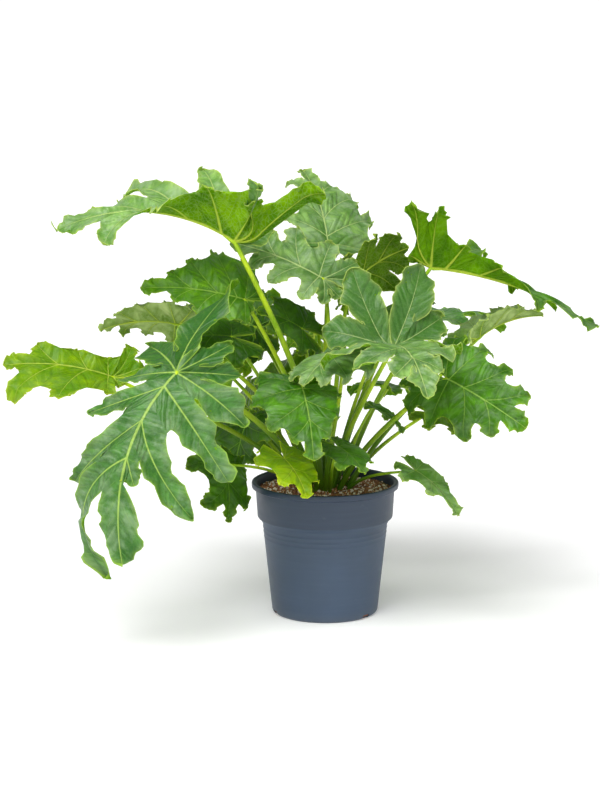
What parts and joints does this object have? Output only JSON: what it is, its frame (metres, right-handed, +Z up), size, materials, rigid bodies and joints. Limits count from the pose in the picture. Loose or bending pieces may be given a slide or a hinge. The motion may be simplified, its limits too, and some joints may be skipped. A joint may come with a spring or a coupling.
{
  "type": "potted lacy tree philodendron",
  "caption": "Spreading bushy house plant with large, deeply lobed green leaves on long round stalks, growing from brown potting mix in a tapered blue-grey plastic nursery pot.",
  "frame": {"origin": "centre of the pot's flat foot, on the surface that the pot stands on", "axes": "+Z up along the pot's axis; +X to the right as seen in the picture; -Y towards the viewer of the picture"},
  "size_m": [0.9505, 0.7498, 0.7195],
  "materials": {
    "pot_plastic": "satin moulded polypropylene",
    "potting_mix": "loose matt soil with pale perlite",
    "mature_leaf": "smooth waxy leaf with pale veins",
    "full_leaf": "smooth waxy leaf with pale veins",
    "young_leaf": "soft yellow-green young leaf"
  },
  "bodies": {
    "root": {"pot": "pot_plastic", "soil": "potting_mix", "leaf_top_left": "mature_leaf", "leaf_top_back": "mature_leaf", "leaf_upper_centre": "full_leaf", "leaf_upper_left": "mature_leaf", "leaf_inner_left": "young_leaf", "leaf_left_back": "full_leaf", "leaf_front_left": "mature_leaf", "leaf_far_left": "full_leaf", "leaf_front_centre": "full_leaf", "leaf_centre_shell": "full_leaf", "leaf_front_right": "full_leaf", "leaf_right": "full_leaf", "leaf_top_right": "mature_leaf", "leaf_right_back": "full_leaf", "leaf_upper_back": "full_leaf", "leaf_inner_back": "young_leaf", "leaf_inner_upper": "young_leaf", "leaf_lower_left": "full_leaf", "leaf_lower_left_far": "young_leaf", "leaf_low_left": "young_leaf", "leaf_young_front": "young_leaf", "leaf_low_right": "young_leaf", "leaf_small_front": "young_leaf", "leaf_inner_right": "young_leaf", "leaf_under_right": "young_leaf", "leaf_back_left": "full_leaf", "leaf_back_right": "full_leaf", "leaf_back_centre": "full_leaf", "leaf_back_low_left": "young_leaf", "leaf_back_low_right": "young_leaf"}
  },
  "joints": []
}
